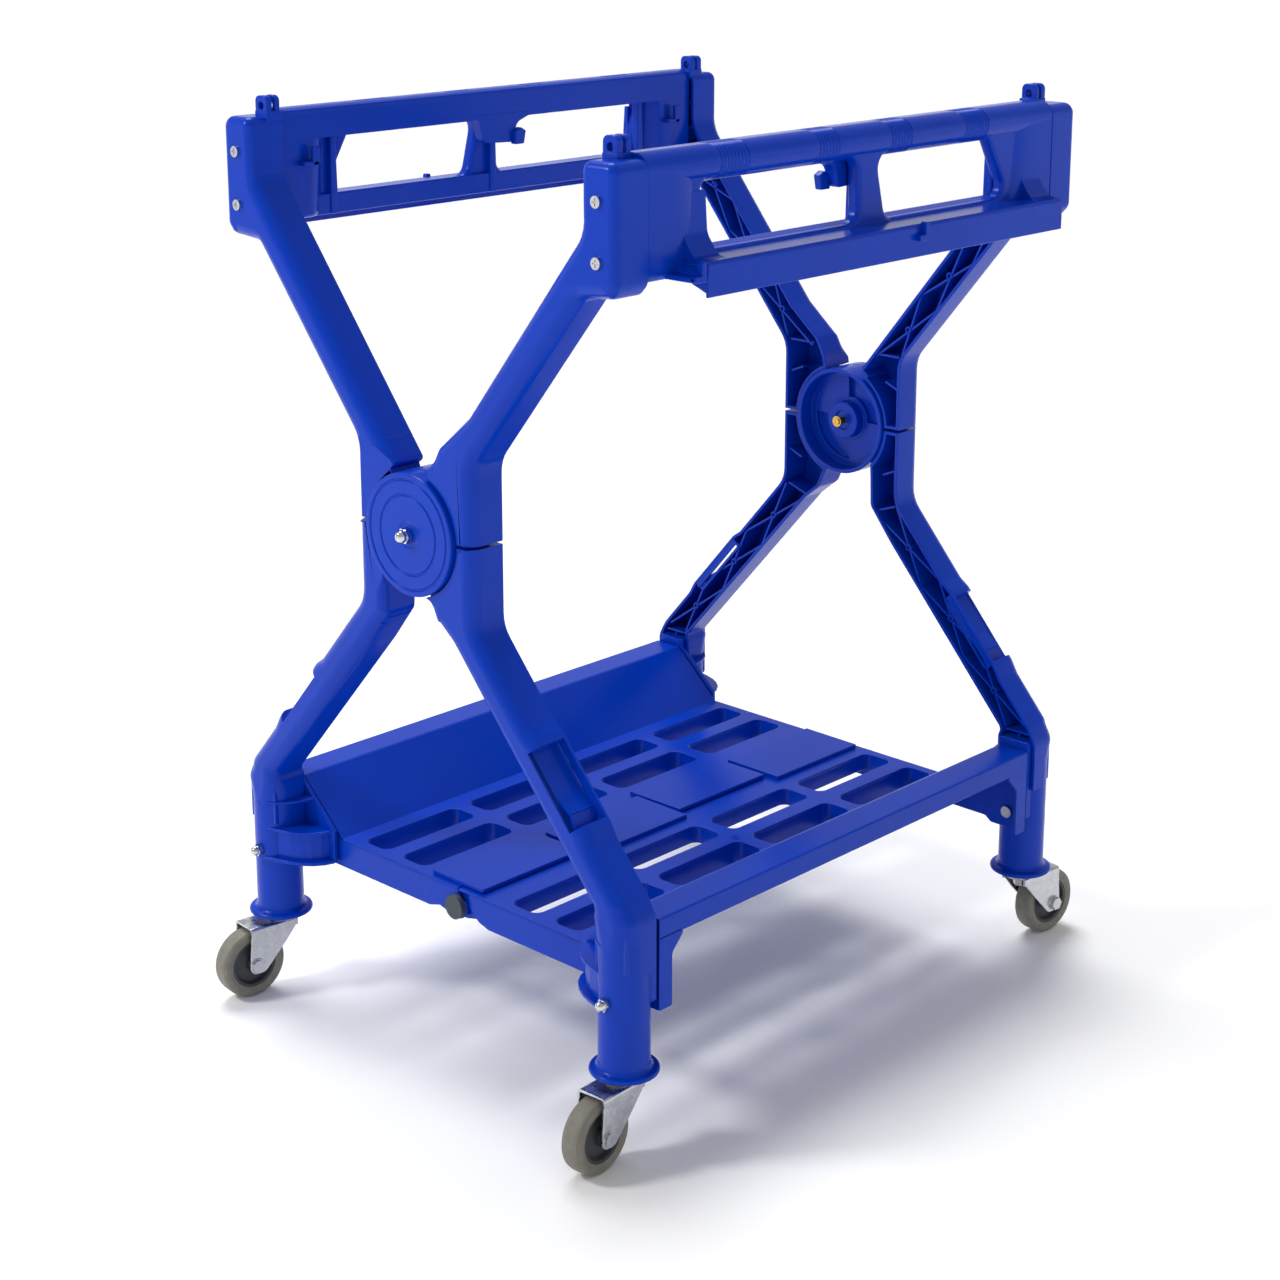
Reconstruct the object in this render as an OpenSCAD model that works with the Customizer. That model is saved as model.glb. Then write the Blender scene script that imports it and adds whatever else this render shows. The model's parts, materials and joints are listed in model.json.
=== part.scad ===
// Folding X-frame cart with a hinged slatted shelf, two lifting rails and four swivel casters.
// Own frame: Z up from the floor, X across the crossed arms, Y along the rails.
// Lengths are in millimetres. The frame repeats under a half turn about the vertical axis.

/* [Frame] */
// distance between the outer faces of the two crossed frames
frame_depth = 690; // [640:10:740]
// half spacing of the feet across the cart
foot_x = 258; // [250:1:264]
// height of the hub bolt
hub_z = 564; // [558:1:570]
// depth of an arm from its outer face to its open side
arm_depth = 42; // [38:1:42]
// half width of the blocks that meet beside the hub
block_x = 83; // [80:1:86]
// wall thickness of the moulded arms
arm_wall = 4; // [3:0.5:5]
// radius of the round foot tube
foot_r = 25; // [22:1:25]

/* [Hub] */
// radius of the outer hub disc
disc_r = 61; // [56:1:62]
// radius of the outer of the two ring grooves
groove_outer_r = 55; // [52:1:57]
// radius of the inner of the two ring grooves
groove_inner_r = 40; // [30:1:46]
// radius of the hub bolt
hub_bolt_r = 4; // [3:0.5:5]

/* [Rails] */
// height of the top of a rail
rail_top = 947; // [942:1:950]
// height of the top of the outward ledge
ledge_z = 850; // [846:1:854]
// how far the ledge reaches from the centre
ledge_x = 300; // [290:1:304]
// radius of the holes in the top tabs
tab_hole_r = 4; // [3:0.5:4.5]

/* [Shelf] */
// height of the shelf deck
deck_z = 182; // [180:1:186]
// height of the foot bolts and of the shelf hinge
pivot_z = 163; // [160:1:165]
// height of the raised outer edge of the shelf
edge_z = 237.5; // [232:0.5:240]
// length of one shelf pocket
pocket_len = 128; // [110:1:130]
// radius of the shelf hinge rod
rod_r = 4; // [3:0.5:5]

/* [Casters] */
// radius of a wheel
wheel_r = 37.5; // [35:0.5:38]
// width of the tyre
tyre_w = 23; // [18:1:24]
// distance from the swivel axis to the wheel axle
trail = 41; // [38:1:43]

/* [View] */
// sub-part to draw

/* [Hidden] */
$fn = 48;
half_d = frame_depth / 2;
foot_y = 24;
flange_z = 89;
clear = 0.05;
head_in = 230;
head_out = 272;
head_low = 258;
head_top = 378;
tab_outer_x = 240;
tab_inner_x = 243;
rim_x = 183;
blue = [0.06, 0.15, 0.62];
steel = [0.75, 0.75, 0.76];

// ---------- helpers ----------

// a flat outline in X and Z, drawn from y0 to y1
module slab(y0, y1) {
  translate([0, y1, 0])
    rotate([90, 0, 0])
      linear_extrude(height = y1 - y0)
        children();
}

// a round bar along Y
module bar_y(r, y0, y1) {
  translate([0, y1, 0])
    rotate([90, 0, 0])
      cylinder(r = r, h = y1 - y0);
}

// a straight rib between two points of an outline
module rib(a, b, w) {
  len = norm(b - a);
  turn = atan2(b[1] - a[1], b[0] - a[0]);
  translate(a)
    rotate(turn)
      translate([-2, -w / 2])
        square([len + 4, w]);
}

module at_near() {
  translate([0, -half_d, 0])
    children();
}

module at_far() {
  rotate([0, 0, 180])
    translate([0, -half_d, 0])
      children();
}

// ---------- crossed arms, drawn with the hub at the origin ----------

module outer_upper() {
  polygon([[-block_x, 1.5], [-block_x, 80], [-224, 254], [-232, head_low],
    [-head_out + 8, head_low + 2], [-head_out, head_low + 10],
    [-head_out, head_top - 8], [-head_out + 8, head_top],
    [-head_in, head_top], [-head_in, 318], [-34, 68], [-30, 50], [0, 0], [-40, 1.5]]);
}

module outer_lower() {
  polygon([[block_x, -1.5], [block_x, -83], [274, -303], [foot_x + foot_r, -320],
    [foot_x + foot_r, -345], [foot_x - foot_r, -345], [foot_x - foot_r, -320],
    [236, -312], [50, -100], [30, -84], [18, -50], [0, 0], [40, -1.5]]);
}

module inner_upper() {
  polygon([[block_x, 1.5], [block_x, 80], [224, 254], [232, head_low],
    [head_out - 8, head_low + 2], [head_out, head_low + 10],
    [head_out, head_top - 8], [head_out - 8, head_top],
    [head_in, head_top], [head_in, 318], [76, 126], [36, 92], [26, 79], [22, 50],
    [0, 0], [40, 1.5]]);
}

module inner_lower() {
  polygon([[-block_x, -1.5], [-block_x, -83], [-274, -303], [-foot_x - foot_r, -320],
    [-foot_x - foot_r, -345], [-foot_x + foot_r, -345], [-foot_x + foot_r, -320],
    [-236, -312], [-76, -130], [-44, -90], [-44, -30], [0, 0], [-40, -1.5]]);
}

// crossing ribs inside a limb, between the ends of its two edges
module lattice(a0, a1, b0, b1, n) {
  for (i = [0:n - 1]) {
    u = i / n;
    v = (i + 1) / n;
    rib(a0 + (a1 - a0) * u, b0 + (b1 - b0) * v, 2.5);
    rib(b0 + (b1 - b0) * u, a0 + (a1 - a0) * v, 2.5);
  }
}

module limb_shell(side) {
  difference() {
    union() {
      slab(3, arm_depth)
        children(0);
      slab(0, 3)
        offset(delta = -3)
          children(0);
    }
    slab(arm_wall + 2, arm_depth + 1)
      difference() {
        offset(delta = -arm_wall)
          children(0);
        circle(r = disc_r + 6);
        children(1);
      }
    translate([0, -1, 0])
      bar_y(disc_r + 1.5, -5, arm_depth + 5);
  }
}

module upper_ribs(s) {
  lattice([s * 83, 80], [s * 224, 254], [s * 46, 88], [s * 230, 318], 3);
  rib([s * 83, 80], [s * 40, 84], 2.5);
  rib([s * 83, 42], [s * 50, 60], 2.5);
  rib([s * 272, 300], [s * 224, 254], 2.5);
  rib([s * 230, 318], [s * 272, 300], 2.5);
  translate([s * 251 - 6, 286])
    square([12, 100]);
}

module lower_ribs(s) {
  lattice([s * 83, -83], [s * 274, -303], [s * 56, -106], [s * 236, -312], 3);
  rib([s * 83, -83], [s * 48, -98], 2.5);
  rib([s * 83, -42], [s * 50, -60], 2.5);
  rib([s * 236, -312], [s * 280, -312], 2.5);
}

// the vertical foot tube with its flange and the bracket beside the shelf
module foot(s) {
  z0 = flange_z - 2 - hub_z;
  pz = pivot_z - hub_z;
  difference() {
    union() {
      translate([s * foot_x, foot_y, z0])
        cylinder(r = foot_r, h = -z0 - 330);
      translate([s * foot_x, foot_y, z0])
        cylinder(r = 34, h = 4);
      slab(43, 48)
        polygon([[s * 262, 155 - hub_z], [s * 262, 246 - hub_z], [s * 246, 243 - hub_z],
          [s * 187, 190 - hub_z], [s * 187, 155 - hub_z]]);
      translate([s * foot_x - 19, 38, 155 - hub_z])
        cube([38, 10, 91]);
      for (h = [155, 188, 218])
        translate([0, 0, h - hub_z])
          linear_extrude(height = 3)
            polygon([[s * 258, 6], [s * 240, 8], [s * 222, 18],
              [s * (h > 200 ? 219 : 190), h > 200 ? 30 : 40],
              [s * (h > 200 ? 217 : 187), 44], [s * 258, 44]]);
    }
    translate([s * foot_x, foot_y, 0])
      translate([0, 0, z0 + 8])
        cylinder(r = foot_r - 4, h = 46);
    translate([s * foot_x - 17, foot_y, z0 + 8])
      cube([34, 30, 46]);
    translate([s * foot_x, foot_y, z0 - 1])
      cylinder(r = 5.1, h = 20);
    translate([s * foot_x, 0, pz])
      bar_y(3.05, -5, 60);
  }
}

// the two prongs on top of a head, seated on its upper face; x is signed
module head_tab(x) {
  base = head_top + 0.02;
  difference() {
    union() {
      translate([x - 9, 24, base])
        cube([18, 8, 20 - 0.02]);
      translate([x - 9, 24, base])
        cube([18, 17, 5]);
      translate([x - 9, 35, base])
        cube([18, 6, 20 - 0.02]);
    }
    translate([x, 0, head_top + 10])
      bar_y(tab_hole_r, 20, 60);
  }
}

module screw_holes(s) {
  for (h = [908, 855])
    translate([s * 251, 0, h - hub_z])
      bar_y(2.55, -2, arm_depth + 2);
}

// arm with the outer hub disc: top left to bottom right
module arm_outer() {
  translate([0, 0, hub_z]) {
    difference() {
      union() {
        limb_shell(-1) {
          outer_upper();
          upper_ribs(-1);
        }
        limb_shell(1) {
          outer_lower();
          lower_ribs(1);
        }
      }
      screw_holes(-1);
      slab(-1, arm_depth + 2)
        polygon([[foot_x - 60, -331], [foot_x + 60, -331],
          [foot_x + 60, -360], [foot_x - 60, -360]]);
      hub_cut();
    }
    foot(1);
    // disc with a stepped rim that carries the two limbs
    difference() {
      union() {
        bar_y(disc_r, -5, 14);
        slab(4.5, 13.5)
          intersection() {
            difference() {
              circle(r = disc_r + 4);
              circle(r = disc_r - 4);
            }
            union() {
              outer_upper();
              outer_lower();
            }
          }
      }
      bar_y(hub_bolt_r + clear, -10, 20);
      for (r = [groove_outer_r, groove_inner_r])
        difference() {
          bar_y(r, -6, -3.8);
          bar_y(r - 2, -7, -3);
        }
    }
  }
}

module hub_cut() {
  translate([0, 0, 0])
    bar_y(disc_r + 1.5, -8, arm_depth + 6);
}

// arm with the inner hub cup: top right to bottom left
module arm_inner() {
  translate([0, 0, hub_z]) {
    difference() {
      union() {
        limb_shell(1) {
          inner_upper();
          upper_ribs(1);
        }
        limb_shell(-1) {
          inner_lower();
          lower_ribs(-1);
        }
      }
      screw_holes(1);
      slab(-1, arm_depth + 2)
        polygon([[-foot_x - 60, -331], [-foot_x + 60, -331],
          [-foot_x + 60, -360], [-foot_x - 60, -360]]);
      hub_cut();
    }
    foot(-1);
    // cup with a raised rim, a floor with two arc recesses and a centre boss
    difference() {
      union() {
        bar_y(disc_r, 14.5, 45);
        slab(16, arm_depth)
          intersection() {
            difference() {
              circle(r = disc_r + 4);
              circle(r = disc_r - 4);
            }
            union() {
              inner_upper();
              inner_lower();
            }
          }
      }
      difference() {
        bar_y(disc_r - 5, 26, 46);
        bar_y(21, 25, 47);
      }
      bar_y(21.5, 38, 46);
      for (q = [90, 270])
        slab(20, 27)
          rotate(q)
            difference() {
              intersection() {
                circle(r = 48);
                square([60, 60]);
              }
              circle(r = 26);
            }
      bar_y(hub_bolt_r + clear, 10, 50);
    }
  }
}

module arm_left_near() {
  color(blue)
    at_near()
      arm_outer();
}

module arm_right_far() {
  color(blue)
    at_far()
      arm_outer();
}

module arm_right_near() {
  color(blue)
    at_near()
      arm_inner();
}

module arm_left_far() {
  color(blue)
    at_far()
      arm_inner();
}

module tab_left_near() {
  color(blue)
    at_near()
      translate([0, 0, hub_z])
        head_tab(-tab_outer_x);
}

module tab_left_far() {
  color(blue)
    at_far()
      translate([0, 0, hub_z])
        head_tab(tab_inner_x);
}

module tab_right_near() {
  color(blue)
    at_near()
      translate([0, 0, hub_z])
        head_tab(tab_inner_x);
}

module tab_right_far() {
  color(blue)
    at_far()
      translate([0, 0, hub_z])
        head_tab(-tab_outer_x);
}

// ---------- rails ----------

// outline of a window in the rail wall, in Y (from the near frame's outer face) and Z
module window(y_top0, y_top1, y_low0, y_low1) {
  polygon([[y_top0, 919], [y_top1, 919], [y_low1, 858], [y_low1, 852],
    [y_low0, 852], [y_low0, 858]]);
}

// section of the grip, two arcs joined by flats
module grip_outline(r) {
  for (x = [247, 259])
    translate([x, rail_top - 13])
      circle(r = r);
  translate([247, rail_top - 13 - r])
    square([12, 2 * r]);
}

module rail() {
  y0 = arm_depth;
  y1 = frame_depth - arm_depth;
  difference() {
    union() {
      // round hollow grip along the top
      slab(y0, y1)
        difference() {
          grip_outline(13);
          grip_outline(9.5);
        }
      // outer wall with two windows
      difference() {
        translate([262, y0, 834])
          cube([4.5, y1 - y0, rail_top - 855]);
        translate([240, 0, 0])
          rotate([90, 0, 90])
            linear_extrude(height = 40) {
              window(112, 334, 128, 337);
              window(365, 542, 381, 578);
            }
      }
      // lower bar
      translate([246, y0, 834])
        cube([20, y1 - y0, 4]);
      translate([246, y0, 834])
        cube([4, y1 - y0, 24]);
      translate([246, 85, 846])
        cube([ledge_x - 246, 630 - 85, 4]);
      translate([ledge_x - 4, 92, 818])
        cube([4, 538, 32]);
      // end blocks against the heads
      for (y = [y0, y1 - 40])
        translate([240, y, 834])
          cube([26, 40, rail_top - 860]);
      // centre post and the two window posts
      for (p = [[334, 365], [96, 112], [545, 578]])
        translate([252, p[0], 834])
          cube([12, p[1] - p[0], 87.5]);
      // hook under the grip at the middle of the inner side
      difference() {
        translate([228, 311, 893])
          cube([24, 62, 40]);
        translate([232, 316, 898])
          cube([30, 52, 20]);
      }
      // small tabs on the ledge and the inner face
      for (y = [64, 352])
        translate([ledge_x - 4, y + 30, 836])
          cube([10, 16, 3]);
      for (y = [64, 352])
        translate([ledge_x + 3, y + 30, 836])
          cube([3, 10, 18]);
      for (y = [66, 600])
        translate([232, y, 890])
          cube([10, 18, 4]);
      for (y = [66, 600])
        translate([232, y, 890])
          cube([4, 8, 16]);
    }
    for (h = [908, 855])
      for (y = [y0 - 1, y1 - 24])
        translate([251, 0, h])
          bar_y(2.55, y, y + 25);
  }
}

module rail_right() {
  color(blue)
    at_near()
      rail();
}

module rail_left() {
  color(blue)
    at_far()
      rail();
}

// ---------- shelf ----------

// rounded rectangle in X and Y
module round_rect(x0, x1, y0, y1, r) {
  translate([x0 + r, y0])
    square([x1 - x0 - 2 * r, y1 - y0]);
  translate([x0, y0 + r])
    square([x1 - x0, y1 - y0 - 2 * r]);
  for (x = [x0 + r, x1 - r])
    for (y = [y0 + r, y1 - r])
      translate([x, y])
        circle(r = r);
}

// end wall of a shelf half in X and Z; ears round the foot bolt
module shelf_end(reach) {
  polygon([[reach, deck_z - 1], [182, deck_z - 1], [242.5, edge_z - 1], [279, edge_z - 1],
    [279, 144], [236, 144], [228, 150], [44, 150], [reach, 160]]);
}

// one half of the shelf, from the hinge at x = 0 out to x = 279
// knuckle_y is where its hinge plates sit, y_s the first raised finger it carries
module shelf_half(knuckle_y, first) {
  e0 = 50;
  e1 = frame_depth - 50;
  rows = [[64, 102], [124, 160]];
  pitch = (frame_depth - 2 * 62 - pocket_len) / 3;
  difference() {
    union() {
      translate([1, e0, deck_z - 3])
        cube([182, e1 - e0, 3]);
      // pocket walls
      for (r = rows)
        for (i = [0:3])
          translate([0, 0, deck_z - 30])
            linear_extrude(height = 28)
              round_rect(r[0] - 2.5, r[1] + 2.5, 59.5 + i * pitch, 64.5 + pocket_len + i * pitch, 12);
      // sloped panel, flat rim and outer skirt
      slab(e0, e1)
        polygon([[180, deck_z - 3], [182, deck_z], [242.5, edge_z], [279, edge_z],
          [279, 216], [276, 216], [276, edge_z - 3], [243.5, edge_z - 3]]);
      for (y = [e0, e1 - 4])
        slab(y, y + 4)
          difference() {
            shelf_end(16);
            circle(r = 15);
          }
      // vertical flange of each ear with its gusset
      translate([276, 0, 0])
        rotate([90, 0, 90])
          linear_extrude(height = 3) {
            polygon([[e0, 144], [e0 + 18, 144], [e0 + 18, 198], [e0 + 38, 217], [e0, 217]]);
            polygon([[e1, 144], [e1 - 18, 144], [e1 - 18, 198], [e1 - 38, 217], [e1, 217]]);
          }
      // long stiffener under the hinge side of the deck
      translate([44, e0, 154])
        cube([3, e1 - e0, 26]);
      // hinge plates
      for (y = [knuckle_y, frame_depth - knuckle_y - 4])
        slab(y, y + 4) {
          translate([0, pivot_z])
            circle(r = 14);
          polygon([[0, deck_z - 1.5], [40, deck_z - 1.5], [40, 158], [6, 154.5], [-4, pivot_z + 4]]);
        }
      // raised fingers that lie over the other half
      for (i = [first, first + 2])
        slab(57 + i * 145.5, 57 + i * 145.5 + 140)
          polygon([[44, deck_z - 2], [44, deck_z + 2.5], [-31, deck_z + 6.5],
            [-31, deck_z + 0.5], [0.5, deck_z + 0.5], [0.5, deck_z - 2]]);
    }
    for (r = rows)
      for (i = [0:3])
        translate([0, 0, deck_z - 40])
          linear_extrude(height = 60)
            round_rect(r[0], r[1], 62 + i * pitch, 62 + pocket_len + i * pitch, 10);
    translate([0, 0, pivot_z])
      bar_y(rod_r + clear, 40, frame_depth - 40);
    translate([foot_x, 0, pivot_z])
      bar_y(3.05, 40, frame_depth - 40);
  }
}

// the part of a shelf half on the hinge side of rim_x, or beyond it
module shelf_part(outside) {
  intersection() {
    shelf_half(outside[1], 1);
    translate([outside[0] ? rim_x + 0.02 : -60, 0, 100])
      cube([outside[0] ? 120 : rim_x + 60, frame_depth, 200]);
  }
}

module shelf_right() {
  color(blue)
    at_near()
      shelf_part([false, 54.6]);
}

module shelf_left() {
  color(blue)
    at_far()
      shelf_part([false, 50]);
}

module rim_right() {
  color(blue)
    at_near()
      shelf_part([true, 54.6]);
}

module rim_left() {
  color(blue)
    at_far()
      shelf_part([true, 50]);
}

module hinge_rod() {
  color(steel)
    translate([0, 0, pivot_z])
      bar_y(rod_r, -half_d + 46, half_d - 46);
}

module hinge_caps() {
  color([0.33, 0.38, 0.42])
    for (s = [0, 180])
      rotate([0, 0, s])
        translate([0, -half_d, pivot_z])
          difference() {
            bar_y(12.5, 43.2, 49.5);
            bar_y(rod_r + 0.01, 46, 50);
          }
}

// ---------- fasteners ----------

module dome_nut(r, h) {
  rotate([90, 0, 0]) {
    cylinder(r = r, h = h * 0.45, $fn = 6);
    cylinder(r = r * 0.8, h = h * 0.6);
    translate([0, 0, h * 0.6])
      intersection() {
        sphere(r = r * 0.8);
        cylinder(r = r, h = r);
      }
  }
}

module hub_bolts() {
  color([0.8, 0.65, 0.35])
    for (s = [0, 180])
      rotate([0, 0, s])
        translate([0, -half_d, hub_z]) {
          bar_y(hub_bolt_r, -5, 50);
          bar_y(6.2, 46.1, 48.6);
        }
}

module hub_nuts() {
  color(steel)
    for (s = [0, 180])
      rotate([0, 0, s])
        translate([0, -half_d - 5.1, hub_z])
          dome_nut(8, 13);
}

module head_screws(s) {
  color(steel)
    for (side = [0, 180])
      for (h = [908, 855])
        rotate([0, 0, side])
          translate([(side == 0 ? s : -s) * 251, -half_d, h]) {
            bar_y(2.5, 0, 60);
            difference() {
              bar_y(5.5, -2.8, 0);
              translate([-0.6, -4, -3.5])
                cube([1.2, 2.4, 7]);
              translate([-3.5, -4, -0.6])
                cube([7, 2.4, 1.2]);
            }
          }
}

module head_screws_left() {
  head_screws(-1);
}

module head_screws_right() {
  head_screws(1);
}

// side 0 is the near foot of a pair and side 180 the far one
module foot_bolts(s, deep) {
  color(steel)
    for (side = [0, 180])
      rotate([0, 0, side])
        translate([(side == 0 ? s : -s) * foot_x, -half_d, pivot_z]) {
          bar_y(3, -6, deep ? 56 : 47.9);
          if (deep)
            bar_y(6.5, 54.3, 57.5);
        }
}

module foot_bolts_left() {
  foot_bolts(-1, false);
}

module foot_bolts_right() {
  foot_bolts(1, true);
}

module foot_nuts(s) {
  color(steel)
    for (side = [0, 180])
      rotate([0, 0, side])
        translate([(side == 0 ? s : -s) * foot_x, -half_d - 1.2, pivot_z])
          difference() {
            dome_nut(6.5, 10);
            bar_y(3.01, -4.9, 1);
          }
}

module foot_nuts_left() {
  foot_nuts(-1);
}

module foot_nuts_right() {
  foot_nuts(1);
}

// ---------- casters, drawn with the swivel axis at the origin and the wheel along +X ----------

// k: 0 near left, 1 near right, 2 far right, 3 far left
module at_caster(k) {
  spots = [[-foot_x, -half_d + foot_y, 263], [foot_x, -half_d + foot_y, 273],
    [foot_x, half_d - foot_y, 83], [-foot_x, half_d - foot_y, 93]];
  translate([spots[k][0], spots[k][1], 0])
    rotate([0, 0, spots[k][2]])
      children();
}

module race() {
  difference() {
    union() {
      translate([0, 0, 82])
        cylinder(r1 = 15, r2 = 18, h = 4.9);
      translate([0, 0, 70])
        cylinder(r = 5, h = 35);
      translate([0, 0, 70])
        cylinder(r = 9, h = 4);
    }
    translate([0, 0, 100])
      cylinder(r = 1, h = 10);
  }
}

module fork() {
  difference() {
    union() {
      translate([0, 0, 75])
        cylinder(r = 17.5, h = 6.6);
      difference() {
        translate([-6, -17, 66])
          cube([37, 34, 14]);
        translate([-10, -14.5, 50])
          cube([60, 29, 27]);
      }
      for (y = [-17, 14.5])
        slab(y, y + 2.5)
          difference() {
            union() {
              polygon([[-14, 80], [-20, 76], [-19, 71], [33, 31], [50.5, 37.5], [50.5, 62], [31, 80]]);
              translate([trail, wheel_r])
                circle(r = 9.5);
            }
            translate([trail, wheel_r])
              circle(r = 4.05);
          }
    }
    translate([0, 0, 60])
      cylinder(r = 5.05, h = 40);
    translate([0, 0, 60])
      cylinder(r = 10, h = 15.5);
  }
}

module axle() {
  translate([trail, 0, wheel_r]) {
    bar_y(4, -20, 20);
    translate([0, -17.05, 0])
      rotate([90, 0, 0])
        cylinder(r = 7.5, h = 4.5, $fn = 6);
    bar_y(7, 17.05, 20);
  }
}

module tyre() {
  translate([trail, 0, wheel_r])
    rotate([90, 0, 0])
      rotate_extrude($fn = 72)
        polygon([[26, -10], [26, 10], [31, tyre_w / 2], [34.5, tyre_w / 2 - 0.6],
          [36.8, tyre_w / 2 - 2.6], [wheel_r, tyre_w / 2 - 6], [wheel_r, -tyre_w / 2 + 6],
          [36.8, -tyre_w / 2 + 2.6], [34.5, -tyre_w / 2 + 0.6], [31, -tyre_w / 2]]);
}

module wheel() {
  translate([trail, 0, wheel_r])
    rotate([90, 0, 0])
      rotate_extrude($fn = 72)
        polygon([[4.05, -14], [4.05, 14], [9, 14], [9, 7], [21, 5], [23, 9.5],
          [25.95, 9.5], [25.95, -9.5], [23, -9.5], [21, -5], [9, -7], [9, -14]]);
}

module races_left() {
  color(steel)
    for (k = [0, 3])
      at_caster(k)
        race();
}

module races_right() {
  color(steel)
    for (k = [1, 2])
      at_caster(k)
        race();
}

module fork_a() {
  color(steel)
    at_caster(0)
      fork();
}

module fork_b() {
  color(steel)
    at_caster(1)
      fork();
}

module fork_c() {
  color(steel)
    at_caster(2)
      fork();
}

module fork_d() {
  color(steel)
    at_caster(3)
      fork();
}

module axle_a() {
  color(steel)
    at_caster(0)
      axle();
}

module axle_b() {
  color(steel)
    at_caster(1)
      axle();
}

module axle_c() {
  color(steel)
    at_caster(2)
      axle();
}

module axle_d() {
  color(steel)
    at_caster(3)
      axle();
}

module tyre_a() {
  color([0.5, 0.49, 0.45])
    at_caster(0)
      tyre();
}

module tyre_b() {
  color([0.5, 0.49, 0.45])
    at_caster(1)
      tyre();
}

module tyre_c() {
  color([0.5, 0.49, 0.45])
    at_caster(2)
      tyre();
}

module tyre_d() {
  color([0.5, 0.49, 0.45])
    at_caster(3)
      tyre();
}

module wheel_a() {
  color([0.3, 0.3, 0.31])
    at_caster(0)
      wheel();
}

module wheel_b() {
  color([0.3, 0.3, 0.31])
    at_caster(1)
      wheel();
}

module wheel_c() {
  color([0.3, 0.3, 0.31])
    at_caster(2)
      wheel();
}

module wheel_d() {
  color([0.3, 0.3, 0.31])
    at_caster(3)
      wheel();
}

arm_left_near();
arm_left_far();
arm_right_near();
arm_right_far();
tab_left_near();
tab_left_far();
tab_right_near();
tab_right_far();
rail_left();
rail_right();
shelf_left();
shelf_right();
rim_left();
rim_right();
hinge_rod();
hinge_caps();
hub_bolts();
hub_nuts();
head_screws_left();
head_screws_right();
foot_bolts_left();
foot_bolts_right();
foot_nuts_left();
foot_nuts_right();
races_left();
races_right();
fork_a();
fork_b();
fork_c();
fork_d();
axle_a();
axle_b();
axle_c();
axle_d();
tyre_a();
tyre_b();
tyre_c();
tyre_d();
wheel_a();
wheel_b();
wheel_c();
wheel_d();
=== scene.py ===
# %% [markdown]
# Folding platform cart. The frame of exact parts is loaded first, and everything else is built
# around it in metres. Two crossed plastic frames fold about a hub bolt, two rails join their heads,
# a slatted shelf hinged in the middle joins their feet, and four swivel casters carry it.

# %% load the frame
import json
import math
import bpy
import bmesh
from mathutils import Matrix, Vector
from mathutils.geometry import tessellate_polygon


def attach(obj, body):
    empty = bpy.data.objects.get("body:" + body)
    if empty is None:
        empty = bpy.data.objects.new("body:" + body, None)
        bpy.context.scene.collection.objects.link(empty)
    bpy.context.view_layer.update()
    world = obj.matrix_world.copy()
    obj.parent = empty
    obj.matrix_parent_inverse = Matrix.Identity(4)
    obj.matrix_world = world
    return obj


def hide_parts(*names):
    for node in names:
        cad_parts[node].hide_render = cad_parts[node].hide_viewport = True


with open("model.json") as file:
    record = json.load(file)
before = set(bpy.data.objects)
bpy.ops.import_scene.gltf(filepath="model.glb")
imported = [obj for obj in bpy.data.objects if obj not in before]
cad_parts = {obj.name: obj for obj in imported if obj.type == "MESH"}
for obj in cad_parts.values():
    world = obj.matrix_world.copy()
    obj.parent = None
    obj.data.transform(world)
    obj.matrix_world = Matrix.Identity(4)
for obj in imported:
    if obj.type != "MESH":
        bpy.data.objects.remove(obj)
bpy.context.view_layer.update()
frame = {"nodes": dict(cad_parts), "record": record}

# %% [markdown]
# The main sizes are read from the frame: the hub height, the place of the feet and of the shelf
# hinge. Half the distance over the two frames is given as 345 mm. All drawing is in millimetres in one
# frame's own coordinates, with Y measured inwards from its outer face, and is turned half round for the
# far one.

# %% main sizes in millimetres
MM = 0.001
joints = {j["name"]: j for j in frame["record"]["behaviour"]["joints"]}
hub_z = joints["fold"]["pos_m"][2] / MM
foot_x = joints["shelf_right_fold"]["pos_m"][0] / MM
pivot_z = joints["shelf_right_fold"]["pos_m"][2] / MM
half_depth = 345.0
print("hub", hub_z, "foot", foot_x, "pivot", pivot_z)


def near(p):
    """A point of the near frame, or of the right rail or shelf half, in metres."""
    return (p[0] * MM, (p[1] - half_depth) * MM, p[2] * MM)


def far(p):
    """The same point after the half turn about the upright axis."""
    return (-p[0] * MM, (half_depth - p[1]) * MM, p[2] * MM)


# %% [markdown]
# A piece is collected as a list of closed meshes and made into one object. A loft joins rings of
# the same number of points, which is how almost every moulded part here is drawn: it gives clean
# rows of quads that shade evenly. A boolean cut is kept for the few recesses that cross a rounded
# face, where rings can't follow. Nodes of the frame that a finished piece stands for are noted.

# %% mesh helpers
SMOOTH_BELOW = math.radians(38)
MERGE = 1e-6
remade = set()


class Shape:
    """Closed meshes in millimetres, collected into one object."""

    def __init__(self):
        self.points, self.faces = [], []

    def add(self, points, faces):
        start = len(self.points)
        self.points += [tuple(p) for p in points]
        self.faces += [tuple(i + start for i in f) for f in faces]

    def loft(self, rings, caps=(True, True), loop=False):
        n = len(rings[0])
        points = [p for ring in rings for p in ring]
        faces = []
        spans = len(rings) if loop else len(rings) - 1
        for k in range(spans):
            a, b = k * n, ((k + 1) % len(rings)) * n
            for i in range(n):
                j = (i + 1) % n
                faces.append((a + i, a + j, b + j, b + i))
        if not loop and caps[0]:
            faces.append(tuple(range(n)))
        if not loop and caps[1]:
            faces.append(tuple(range((len(rings) - 1) * n, len(rings) * n)))
        self.add(points, faces)


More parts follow.
